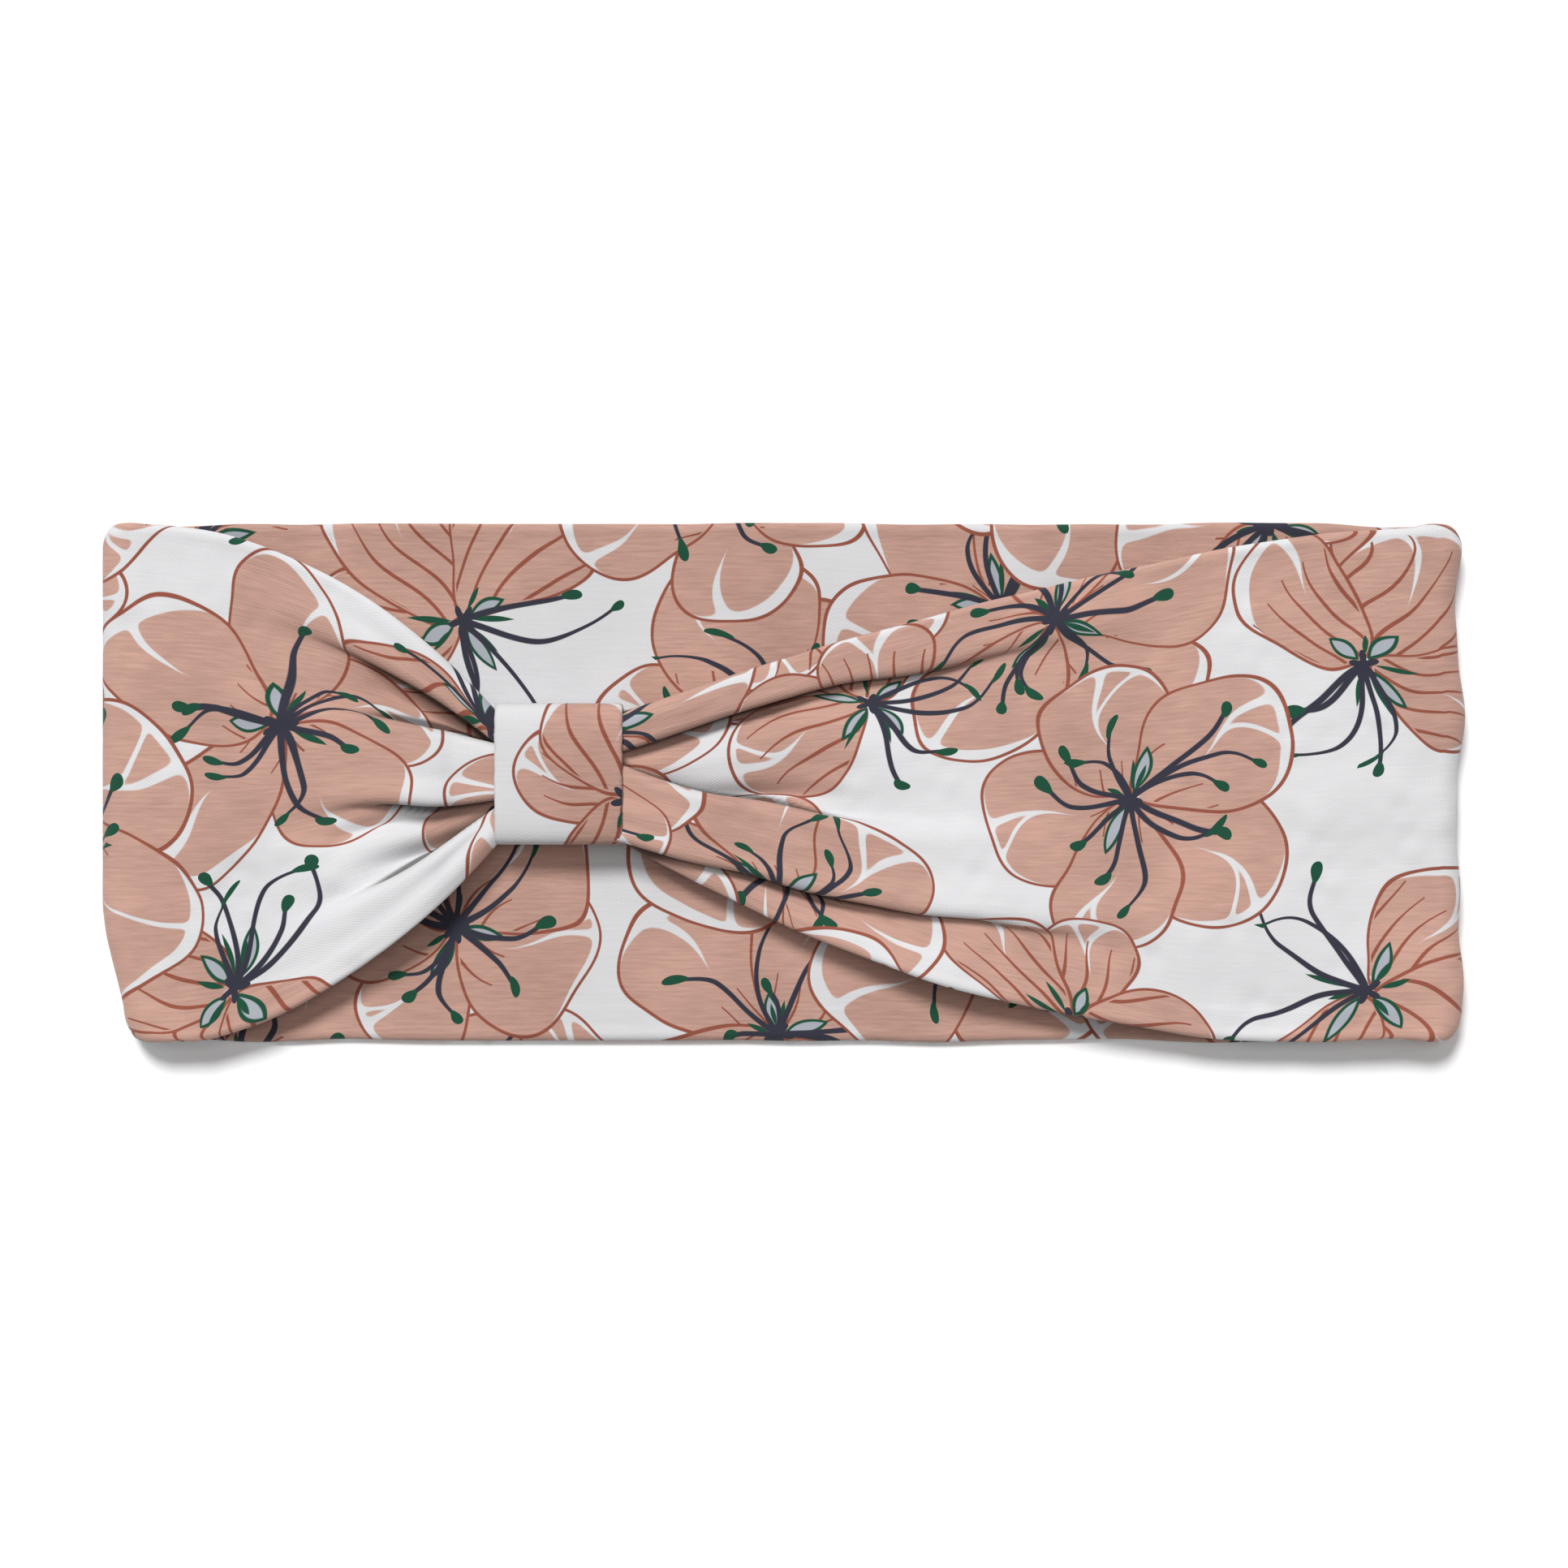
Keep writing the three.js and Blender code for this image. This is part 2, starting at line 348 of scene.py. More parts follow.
def relax(points):
    """What lying cloth does of itself: wavy edges, drawn-in corners at the end folds, shallow dents."""
    x, y, z = points[..., 0], points[..., 1], points[..., 2]
    across = np.broadcast_to(2 * ACROSS - 1, x.shape)
    at_end = smooth(FOLD_X - 22, FOLD_X + 2, np.abs(x))
    top_wave = 0.35 * waves(x, 74, 21) * smooth(0.2, 1, -across)
    bottom_wave = 0.4 * waves(x, 63, 22) * smooth(0.2, 1, across)
    calm = smooth(0, 30, np.abs(x - TAB_MID_X) - 10)
    corner = np.clip((np.abs(across) * BAND_HALF - BAND_HALF) / CORNER_RADIUS + 1, 0, 1)
    drawn = at_end * (1 - np.sqrt(1 - corner**2))
    slant = at_end * np.where(x < 0, 4.2 * smooth(0.45, 1, across), 1.0 * waves(across, 1.1, 23))
    moved = points.copy()
    moved[..., 0] = x - np.sign(x) * (CORNER_RADIUS * drawn + slant)
    moved[..., 1] = y + (top_wave + bottom_wave) * calm - np.sign(-across) * 0.5 * drawn
    upper = smooth(3, 6, z)
    dents = waves(x + 0.5 * y, 67, 24) * waves(y - 0.3 * x, 49, 25)
    crumple = waves(x + 0.3 * y, 15, 26) * waves(y - 0.4 * x, 12, 27)
    front_dents = DENT * dents + CRUMPLE * crumple
    back_dents = BACK_DENT * np.abs(dents)
    moved[..., 2] = z + calm * (upper * front_dents + (1 - upper) * back_dents)
    return moved


def unit(vectors):
    return vectors / np.maximum(np.linalg.norm(vectors, axis=-1, keepdims=True), 1e-9)


def thicken(middle):
    """The closed two-ply cross-sections round the middle surface, in the order lining, then face."""
    along = np.gradient(middle, axis=0)
    across = np.gradient(middle, axis=1)
    normal = unit(np.cross(along, across))
    from_edge = np.minimum(ACROSS, 1 - ACROSS) * BAND_WIDTH
    rounding = np.sqrt(1 - (1 - np.clip(from_edge / EDGE_ROUND, 0, 1)) ** 2)
    ridge = 1 + 0.28 * np.exp(-(((from_edge - 1.3) / 0.9) ** 2))
    in_seam = 1 - smooth(SEAM_ALLOWANCE - 0.6, SEAM_ALLOWANCE + 0.6, (1 - ACROSS) * BAND_WIDTH)
    half = (LAYER / 2 * rounding * ridge * (1 + 0.14 * in_seam))[None, :, None]
    face, lining = middle + normal * half, middle - normal * half
    return np.concatenate([lining[:, ::-1], face[:, 1:]], 1)


def loop_normals(skin):
    """Vertex normals of the closed skin, whose first and last columns meet along the seam."""
    closed = np.concatenate([skin[:, -2:-1], skin, skin[:, 1:2]], 1)
    along = np.gradient(closed, axis=0)
    across = np.gradient(closed, axis=1)
    return unit(np.cross(along, across))[:, 1:-1]


def painted_crease_shade(middle):
    """How deep each point lies below the cloth close beside it, from 0 to 1, on the face only: the painted
    shade that darkens the colour in creases, where little light gets in.
    """
    depth = np.zeros(middle.shape[:2])
    for row, (y, z) in enumerate(zip(middle[..., 1], middle[..., 2])):
        nearness = np.clip(1 - np.abs(y[:, None] - y[None, :]) / CREASE_REACH, 0, 1)
        depth[row] = ((z[None, :] - z[:, None]) * nearness).max(1)
    on_face = smooth(*CREASE_DEPTHS, depth)
    return np.concatenate([np.zeros_like(depth), on_face[:, 1:]], 1)


def band_surface():
    """The band's skin, print coordinates, normals and painted crease shade, in rows from knot to knot round
    the loop, and how many rows each of its five parts has."""
    parts = [front_rows("left"), fold_rows(-1), back_rows(), fold_rows(1)[::-1], front_rows("right")[::-1]]
    middle = relax(np.concatenate(parts))
    skin = thicken(middle)
    centre = middle.mean(1)
    steps = np.linalg.norm(np.diff(centre[:, [0, 2]], axis=0), axis=1)
    run = np.concatenate([[0], np.cumsum(steps)])
    around = np.concatenate([-ACROSS[::-1], ACROSS[1:]]) * BAND_WIDTH
    prints = np.zeros_like(skin)
    prints[..., 0] = run[:, None]
    prints[..., 1] = around[None, :]
    return skin, prints, loop_normals(skin), painted_crease_shade(middle), [len(p) for p in parts]


# ---------------------------------------------------------------- the print's layout


def blossoms(width, height):
    """Blossom centres, turns, sizes and kinds on a loose half-drop repeat over the cut fabric."""
    rng = np.random.default_rng(SEED)
    found = []
    for column in range(-1, int(width / PRINT_STEP) + 2):
        for row in range(-1, int(height / PRINT_STEP) + 2):
            jitter = rng.uniform(-8, 8, 2)
            x = column * PRINT_STEP + jitter[0]
            y = (row + 0.5 * (column % 2)) * PRINT_STEP + jitter[1] - height / 2
            turn = rng.uniform(0, 2 * math.pi)
            size = rng.uniform(29, 36)
            fan = 1.0 if rng.random() < 0.4 else 0.0
            found.append((x, y, turn, size, fan, rng.uniform(0, 50)))
    return np.array(found)


def nearest_blossoms(centres, layout):
    """For each face, the blossoms whose discs reach it most, in layout order so that they overlap alike."""
    reach = np.linalg.norm(centres[:, None, :2] - layout[None, :, :2], axis=2) - layout[None, :, 3]
    chosen = np.argpartition(reach, SLOTS, axis=1)[:, :SLOTS]
    return np.sort(chosen, axis=1)


def store(mesh, name, kind, domain, values):
    """Stores values, in the order of the mesh's points or faces, as an attribute that a material reads."""
    attribute = mesh.attributes.new(name, kind, domain)
    component = "value" if kind == "FLOAT" else "vector"
    attribute.data.foreach_set(component, values.astype(np.float32).ravel())


def add_blossoms(mesh, prints, layout):
    """Stores the nearest blossoms on the faces."""
    corners = np.zeros(len(mesh.loops), np.int32)
    mesh.loops.foreach_get("vertex_index", corners)
    centres = prints[corners.reshape(-1, 4)].mean(1)
    chosen = nearest_blossoms(centres, layout)
    for slot in range(SLOTS):
        for label, columns in (("place", (0, 1, 2)), ("kind", (3, 4, 5))):
            store(mesh, f"{label}_{slot}", "FLOAT_VECTOR", "FACE", layout[chosen[:, slot]][:, columns])


def grid_object(name, points, prints, normals, finish, layout=None):
    """A mesh object from a grid of points, rows by columns. Without a layout it isn't printed."""
    rows, columns = points.shape[:2]
    index = np.arange(rows * columns).reshape(rows, columns)
    quads = np.stack([index[:-1, :-1], index[1:, :-1], index[1:, 1:], index[:-1, 1:]], -1).reshape(-1, 4)
    mesh = bpy.data.meshes.new(name)
    mesh.from_pydata((points.reshape(-1, 3) * MM).tolist(), [], quads.tolist())
    prints = prints.reshape(-1, 3)
    store(mesh, "print", "FLOAT_VECTOR", "POINT", prints)
    if layout is not None:
        add_blossoms(mesh, prints, layout)
    mesh.polygons.foreach_set("use_smooth", [True] * len(mesh.polygons))
    mesh.normals_split_custom_set_from_vertices(normals.reshape(-1, 3).tolist())
    slot, material = finish
    mesh.materials.append(material)
    piece = bpy.data.objects.new(name, mesh)
    bpy.context.scene.collection.objects.link(piece)
    return piece


# ---------------------------------------------------------------- shader arithmetic


class Field:
    """A value in a shader tree that plain arithmetic can be written with: each step adds one Math node."""

    def __init__(self, tree, socket):
        self.tree = tree
        self.socket = socket

    def math(self, operation, *others):
        node = self.tree.nodes.new("ShaderNodeMath")
        node.operation = operation
        for slot, value in enumerate((self, *others)):
            if isinstance(value, Field):
                self.tree.links.new(value.socket, node.inputs[slot])
            else:
                node.inputs[slot].default_value = value
        return Field(self.tree, node.outputs[0])

    def __add__(self, other):
        return self.math("ADD", other)

    def __sub__(self, other):
        return self.math("SUBTRACT", other)

    def __rsub__(self, other):
        return (self * -1) + other

    def __mul__(self, other):
        return self.math("MULTIPLY", other)

    def __truediv__(self, other):
        return self.math("DIVIDE", other)

    __radd__ = __add__
    __rmul__ = __mul__

    def abs(self):
        return self.math("ABSOLUTE")

    def sin(self):
        return self.math("SINE")

    def cos(self):
        return self.math("COSINE")

    def over(self, level):
        return self.math("GREATER_THAN", level)

    def under(self, level):
        return self.math("LESS_THAN", level)

    def step(self, low, high):
        """0 below low, 1 above high, smooth between them."""
        node = self.tree.nodes.new("ShaderNodeMapRange")
        node.interpolation_type = "SMOOTHSTEP"
        node.clamp = False  # a smooth step needs none, and each clamp costs the shader room
        self.tree.links.new(self.socket, node.inputs["Value"])
        for name, value in (("From Min", low), ("From Max", high)):
            if isinstance(value, Field):
                self.tree.links.new(value.socket, node.inputs[name])
            else:
                node.inputs[name].default_value = value
        return Field(self.tree, node.outputs["Result"])


def length(first, second):
    return (first * first + second * second).math("SQRT")


def split(tree, socket):
    node = tree.nodes.new("ShaderNodeSeparateXYZ")
    tree.links.new(socket, node.inputs[0])
    return [Field(tree, output) for output in node.outputs]


def vector(tree, x, y, z=0.0):
    node = tree.nodes.new("ShaderNodeCombineXYZ")
    for slot, value in enumerate((x, y, z)):
        if isinstance(value, Field):
            tree.links.new(value.socket, node.inputs[slot])
        else:
            node.inputs[slot].default_value = value
    return node.outputs[0]


def chances(tree, index, seed):
    """Three seeded numbers from 0 to 1 for a whole number."""
    node = tree.nodes.new("ShaderNodeTexWhiteNoise")
    node.noise_dimensions = "2D"
    tree.links.new(vector(tree, index, seed), node.inputs["Vector"])
    return split(tree, node.outputs["Color"])


def mix(tree, mask, under, colour):
    """colour laid over under where mask is 1."""
    node = tree.nodes.new("ShaderNodeMix")
    node.data_type = "RGBA"
    tree.links.new(mask.socket, node.inputs["Factor"])
    tree.links.new(under, node.inputs["A"])
    if isinstance(colour, tuple):
        node.inputs["B"].default_value = (*colour, 1)
    else:
        tree.links.new(colour, node.inputs["B"])
    return node.outputs["Result"]


def sectors(tree, bearing, count, seed):
    """The turn split into equal sectors: the bearing inside the sector, its middle's bearing, its chances."""
    size = 2 * math.pi / count
    index = (bearing / size).math("ROUND")
    local = bearing - index * size
    return local, index * size, chances(tree, index.math("FLOORED_MODULO", count), seed)


def egg(radius, local, start, tip, half, taper):
    """Distance inside an egg-shaped petal in blossom radii, and its coordinates along and across."""
    centre, reach = (tip + start) * 0.5, (tip - start) * 0.5
    along = (radius * local.cos() - centre) / reach
    width = half * (along * taper + 1)
    across = radius * local.sin() / width
    level = length(along, across).math("MAXIMUM", 0.001)
    slope = length(along / reach, across / width)
    return (1 - level) * level / slope.math("MAXIMUM", 0.001), along, across, width


def lens(radius, local, start, tip, half):
    """Distance inside a pointed leaf in blossom radii."""
    centre, reach = (tip + start) * 0.5, (tip - start) * 0.5
    along = (radius * local.cos() - centre) / reach
    across = radius * local.sin() / half
    return (1 - along * along - across.abs()) * half


def petal_pair(tree, bearing, seed):
    """The two petals nearest to a bearing, the lower one first: local bearing, middle bearing, chances."""
    sector = 2 * math.pi / PETALS
    index = (bearing / sector).math("ROUND")
    local = bearing - index * sector
    side = local.math("SIGN")
    near_rank, _, _ = chances(tree, index.math("FLOORED_MODULO", PETALS), seed + 7)
    far_rank, _, _ = chances(tree, (index + side).math("FLOORED_MODULO", PETALS), seed + 7)
    near_on_top = near_rank.over(far_rank)
    pair = []
    for shift in (side * near_on_top, side * (1 - near_on_top)):
        number = index + shift
        chance = chances(tree, number.math("FLOORED_MODULO", PETALS), seed)
        pair.append((local - shift * sector, number * sector, chance))
    return pair


def add_petal(tree, colour, radius, size, fan, petal):
    """One petal over the colour underneath: pink, a white rim, a forked white streak, veins, an outline."""
    local, middle, (long, wide, lean) = petal
    shown = 1 - fan * middle.cos().under(0.2)
    inside, along, across, width = egg(
        radius, local - (lean - 0.5) * 0.3, 0.03, long * 0.26 + 0.74, wide * 0.12 + 0.30 - fan * 0.03, 0.3
    )
    ripple = (along * 4.2 + lean * 20).sin() * 0.5 + (across * 4 + wide * 20).sin() * 0.35
    inside = inside * size + ripple
    way = (lean - 0.5).math("SIGN")
    tip = along.step(0.05, 0.95)
    rim = (2.6 * long + 0.9) * tip * (across * way).step(-0.9, 0.6)
    stem = across - (wide - 0.5) * 0.7 * (along + 0.6) - 0.13 * (along * 3.5 + lean * 6).sin()
    bough = (along - 0.05).math("MAXIMUM", 0)
    branch = (stem - way * 0.95 * bough * bough).abs() + long.over(0.55) * 9
    streak = stem.abs().math("SMOOTH_MIN", branch, 0.12) * width * size + 0.35 - 1.25 * along.step(-0.4, 0.95)
    pink = (inside - rim).math("SMOOTH_MIN", streak, 2.6).step(-0.15, 0.15)
    colour = mix(tree, inside.over(0) * shown, colour, GROUND)
    colour = mix(tree, pink * shown, colour, PETAL)

    spread = across * 2.3 + 0.22 * (along * 3.4 + lean * 9).sin()
    gap = (spread - spread.math("ROUND")).abs() * width * size / 2.3
    vein_end = fan * 0.95 + wide * 0.45 - 0.62
    taper = 0.24 - 0.16 * (along - vein_end).step(-0.7, 0)
    vein = (1 - gap.step(taper, taper + 0.14)) * along.under(vein_end) * inside.over(0.6)
    outline_line = 1 - inside.abs().step(0.20, 0.36)
    return mix(tree, vein.math("MAXIMUM", outline_line) * shown, colour, RUST)


def add_sepals(tree, colour, radius, bearing, size, seed):
    """Small pointed leaves round the centre, and dark strokes between them."""
    local, _, (long, wide, lean) = sectors(tree, bearing, 4, seed + 3)
    inside = size * lens(radius, local - (lean - 0.5) * 0.7, 0.05, long * 0.10 + 0.22, wide * 0.012 + 0.034)
    shown = long.over(0.3)
    colour = mix(tree, inside.over(0) * shown, colour, LEAF)
    line = (1 - (inside - 0.1).abs().step(0.22, 0.40)) * shown
    local, _, (long, wide, lean) = sectors(tree, bearing + 0.3, 7, seed + 5)
    stroke = size * lens(radius, local - (lean - 0.5) * 0.6, 0.06, long * 0.16 + 0.18, 0.016)
    return mix(tree, line.math("MAXIMUM", stroke.step(-0.05, 0.1) * wide.over(0.35)), colour, GREEN)


def add_stamens(tree, colour, radius, bearing, size, fan, seed):
    """Three sets of curved threads, so that they cross, with an anther at each end, and the dark heart."""
    anthers = None
    for number, (count, low, high) in enumerate(((5, 0.40, 0.66), (4, 0.30, 0.52), (3, 0.46, 0.70))):
        turned = 0.4 * number
        local, middle, (long, bend, thick) = sectors(tree, bearing + turned, count, seed + 11 + number)
        reach = long * (high - low) + low + fan * 0.12
        share = radius / reach
        curved = local - (bend - 0.5) * (share * share + 0.35 * share.step(0.7, 1.0))
        present = 1 - fan * (middle - turned).cos().over(0.25)
        off = radius * curved.sin().abs() * size
        thread = 0.58 - 0.18 * share
        on_line = 1 - off.step(thread - 0.1, thread + 0.1)
        stamen = on_line * present * share.under(1.0) * curved.cos().over(0)
        colour = mix(tree, stamen, colour, NAVY)
        end_x = (radius * curved.cos() - reach) * size / 1.5
        end_y = radius * curved.sin() * size / (0.95 + 0.25 * end_x)
        anther = length(end_x, end_y + end_x * (thick - 0.5)).under(1.0) * present
        anthers = anther if anthers is None else anthers.math("MAXIMUM", anther)
    heart = (radius * size - 1.9 - 0.9 * (bearing * 5 + seed).sin()).under(0)
    colour = mix(tree, heart, colour, NAVY)
    return mix(tree, anthers, colour, GREEN)


def blossom_group():
    """Lays one blossom over the colour underneath."""
    tree = bpy.data.node_groups.new("blossom", "ShaderNodeTree")
    for name, kind in (("Print", "Vector"), ("Place", "Vector"), ("Kind", "Vector"), ("Under", "Color")):
        tree.interface.new_socket(name, in_out="INPUT", socket_type="NodeSocket" + kind)
    tree.interface.new_socket("Colour", in_out="OUTPUT", socket_type="NodeSocketColor")
    given = tree.nodes.new("NodeGroupInput").outputs
    px, py, _ = split(tree, given["Print"])
    cx, cy, turn = split(tree, given["Place"])
    size, fan, seed = split(tree, given["Kind"])

    dx, dy = px - cx, py - cy
    x = (dx * turn.cos() + dy * turn.sin()) / size
    y = (dy * turn.cos() - dx * turn.sin()) / size
    radius = length(x, y)
    bearing = y.math("ARCTAN2", x)
    colour = given["Under"]
    for petal in petal_pair(tree, bearing, seed):
        colour = add_petal(tree, colour, radius, size, fan, petal)
    colour = add_sepals(tree, colour, radius, bearing, size, seed)
    colour = add_stamens(tree, colour, radius, bearing, size, fan, seed)
    result = tree.nodes.new("NodeGroupOutput")
    tree.links.new(colour, result.inputs["Colour"])
    return tree


def noise(tree, where, scale, detail=2.0, roughness=0.5):
    node = tree.nodes.new("ShaderNodeTexNoise")
    node.inputs["Scale"].default_value = scale
    node.inputs["Detail"].default_value = detail
    node.inputs["Roughness"].default_value = roughness
    tree.links.new(where, node.inputs["Vector"])
    return node


def attribute(tree, name):
    node = tree.nodes.new("ShaderNodeAttribute")
    node.attribute_name = name
    return node.outputs["Vector"]


def scaled(tree, colour, shade):
    node = tree.nodes.new("ShaderNodeVectorMath")
    node.operation = "SCALE"
    tree.links.new(colour, node.inputs[0])
    tree.links.new(shade.socket, node.inputs["Scale"])
    return node.outputs[0]


def bump(tree, shader, height, strength, distance):
    node = tree.nodes.new("ShaderNodeBump")
    node.inputs["Strength"].default_value = strength
    node.inputs["Distance"].default_value = distance * MM
    tree.links.new(height.socket, node.inputs["Height"])
    tree.links.new(node.outputs[0], shader.inputs["Normal"])


def knit(tree, shader, x, y):
    """The jersey's nap and stitches, from coordinates along and across the strip; returns its heather."""
    heather = Field(tree, noise(tree, vector(tree, x * 0.16, y * 2.2), 1.0, 3.0, 0.65).outputs["Fac"])
    stitches = (y * (2 * math.pi / WALE)).sin() * (x * (2 * math.pi / COURSE)).sin()
    bump(tree, shader, stitches * 0.5 + heather * 0.9, 0.3, 0.12)
    shader.inputs["Roughness"].default_value = 0.9
    shader.inputs["Specular IOR Level"].default_value = 0.2
    shader.inputs["Sheen Weight"].default_value = 0.15
    shader.inputs["Sheen Roughness"].default_value = 0.5
    return heather


def plain_material(name):
    material = bpy.data.materials.new(name)
    material.use_nodes = True
    return material, material.node_tree, material.node_tree.nodes["Principled BSDF"]


def reverse_material():
    """The jersey's unprinted reverse, where the print shows through a little."""
    material, tree, shader = plain_material("unprinted jersey")
    place = attribute(tree, "print")
    x, y, _ = split(tree, place)
    heather = knit(tree, shader, x, y)
    base = tree.nodes.new("ShaderNodeRGB")
    base.outputs[0].default_value = (*GROUND, 1)
    show_through = Field(tree, noise(tree, place, 0.06, 1.0).outputs["Fac"]).step(0.45, 0.6) * 0.3
    colour = mix(tree, show_through, base.outputs[0], PETAL)
    tree.links.new(scaled(tree, colour, (heather - 0.5) * 0.2 + 1.05), shader.inputs["Base Color"])
    return material


def thread_material():
    """Off-white polyester thread, twisted: its print coordinates run along it and round it."""
    material, tree, shader = plain_material("twisted thread")
    along, around, _ = split(tree, attribute(tree, "print"))
    twist = (along * 9 + around * 2).sin()
    base = tree.nodes.new("ShaderNodeRGB")
    base.outputs[0].default_value = (0.80, 0.78, 0.75, 1)
    tree.links.new(scaled(tree, base.outputs[0], twist * 0.07 + 0.93), shader.inputs["Base Color"])
    bump(tree, shader, twist, 0.5, 0.05)
    shader.inputs["Roughness"].default_value = 0.55
    shader.inputs["Sheen Weight"].default_value = 0.2
    return material


def jersey_material():
    """Printed jersey: the blossoms over a heathered ground, a fine knit and a soft nap, with painted shade in
    the creases and on the lining side.
    """
    material, tree, shader = plain_material("blossom jersey")
    place = attribute(tree, "print")
    x, y, _ = split(tree, place)

    sway_x, sway_y, _ = split(tree, noise(tree, place, 0.06, 0.3).outputs["Color"])
    drawn = vector(tree, x + (sway_x - 0.5) * PRINT_SWAY, y + (sway_y - 0.5) * PRINT_SWAY)
    group = blossom_group()
    ground = tree.nodes.new("ShaderNodeRGB")
    ground.outputs[0].default_value = (*GROUND, 1)
    colour = ground.outputs[0]
    for slot in range(SLOTS):
        layer = tree.nodes.new("ShaderNodeGroup")
        layer.node_tree = group
        tree.links.new(drawn, layer.inputs["Print"])
        tree.links.new(attribute(tree, f"place_{slot}"), layer.inputs["Place"])
        tree.links.new(attribute(tree, f"kind_{slot}"), layer.inputs["Kind"])
        tree.links.new(colour, layer.inputs["Under"])
        colour = layer.outputs["Colour"]

    heather = knit(tree, shader, x, y)
    cloud = Field(tree, noise(tree, place, 0.05, 2.0).outputs["Fac"])
    red, _, blue = split(tree, colour)
    inked = ((red - blue) * 4).math("MINIMUM", 1.0)
    # Painted shade: the lining side, which shows on the back panel that lies lower, under the front, is made
    # darker by 0.09.
    lining = y.under(0)
    streaks = (heather - 0.5) * (0.16 + 0.5 * inked)
    patches = (cloud - 0.5) * (0.18 + 0.3 * inked)
    # Painted shade: the colour is darkened in the creases, by up to CREASE_SHADE.
    painted_shade_in_creases, _, _ = split(tree, attribute(tree, "painted_shade_in_creases"))
    shade = (streaks + patches + 1.04 - 0.09 * lining) * (1 - CREASE_SHADE * painted_shade_in_creases)
    tree.links.new(scaled(tree, colour, shade), shader.inputs["Base Color"])
    return material


# ---------------------------------------------------------------- the pieces


def band_pieces(finish):
    """The band in three pieces: the back rides on the band's body, and each front keeps its place, with its
    transform baked into its mesh.
    """
    skin, prints, normals, painted_crease_shades, counts = band_surface()
    layout = blossoms(prints[..., 0].max(), 2 * BAND_WIDTH)
    left_end = counts[0] - SPLIT_ROWS
    right_start = len(skin) - counts[4] + SPLIT_ROWS
    spans = {
        "band_front_left": slice(0, left_end + 1),
        "band_back": slice(left_end, right_start + 1),
        "band_front_right": slice(right_start, len(skin)),
    }
    made = {}
    for name, rows in spans.items():
        made[name] = grid_object(name, skin[rows], prints[rows], normals[rows], finish, layout)
        # the painted crease shade, which the material darkens the colour with
        store(made[name].data, "painted_shade_in_creases", "FLOAT", "POINT", painted_crease_shades[rows])
        long_mm = prints[rows][-1, 0, 0] - prints[rows][0, 0, 0]
        held = "laid" if name == "band_back" else "gathered"
        long_mm * MM
    seam_x = {name: skin[row].mean(0)[0] * MM for name, row in (("left", left_end), ("right", right_start))}
    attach(made["band_back"], "band")
    for name, tab_x in (("left", tab_low[0]), ("right", tab_high[0])):
        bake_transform(made[f"band_front_{name}"])
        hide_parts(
            f"{name}_wing_face_ply",
            f"{name}_wing_lining_ply",
            f"{name}_wing_seam_allowance",
            f"{name}_neck_face_ply",
            f"{name}_neck_lining_ply",
        )
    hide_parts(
        "back_panel_face_ply",
        "back_panel_lining_ply",
        "back_panel_seam_allowance",
    )


def join_piece(finish):
    """The cross seam that closes the band into a loop, gathered in the middle of the knot."""
    y, z = cross_section(FRONT["left"], JOIN_HALF - TAB_HALF_X)
    rows = []
    for x in np.linspace(-JOIN_HALF, JOIN_HALF, 7):
        bulge = 0.15 * math.cos(x / JOIN_HALF * math.pi / 2)
        rows.append(np.stack([np.full_like(y, TAB_MID_X + x), y, z + bulge], 1))
    skin = thicken(np.array(rows))
    join = grid_object("band_join", skin, skin, loop_normals(skin), finish)
    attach(join, "knot")
    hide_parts("band_join_seam")


def tab_layout():
    """The tab's own cut of the print: a striped petal lies across its top."""
    top = np.array([[12.0, 17.5, math.pi + 0.1, 25.0, 1.0, 23.0]])
    others = blossoms(120, 120)
    clear = np.linalg.norm(others[:, :2] - (TAB_PRINT[0], TAB_PRINT[1] + 15), axis=1) > 46
    top[:, :2] += TAB_PRINT
    return np.concatenate([others[clear], top])


def tab_ring():
    """The middle of the tab's wall, evenly spaced from its +Y side over the top: y, z, length so far."""
    half_y = (tab_high[1] - tab_low[1]) / 2 - TAB_WALL / 2
    half_z = (TAB_TOP - TAB_UNDER) / 2 - TAB_WALL / 2
    turn = np.linspace(0, 2 * math.pi, 901)
    y = half_y * np.sign(np.cos(turn)) * np.abs(np.cos(turn)) ** TAB_SQUARENESS
    z = half_z * np.sign(np.sin(turn)) * np.abs(np.sin(turn)) ** TAB_SQUARENESS
    length_round = np.concatenate([[0], np.cumsum(np.hypot(np.diff(y), np.diff(z)))])
    even = np.linspace(0, length_round[-1], 241)
    mid_z = (TAB_TOP + TAB_UNDER) / 2
    return TAB_MID_Y + np.interp(even, length_round, y), mid_z + np.interp(even, length_round, z), even


def tab_profile():
    """The wall's outline along the tab: x, how far out it stands, and whether it is on the inside."""
    side = np.sin(np.linspace(-1, 1, 46) * math.pi / 2)
    from_edge = (1 - np.abs(side)) * TAB_HALF_X
    half_wall = TAB_WALL / 2 * np.sqrt(1 - (1 - np.clip(from_edge / TAB_EDGE, 0, 1)) ** 2)
    x = np.concatenate([side, side[-2::-1]]) * TAB_HALF_X
    out = np.concatenate([half_wall, -half_wall[-2::-1]])
    return x, out, np.arange(len(x)) >= len(side)


def tab_crown(x):
    return 0.35 * (1 - (x / TAB_HALF_X) ** 2)


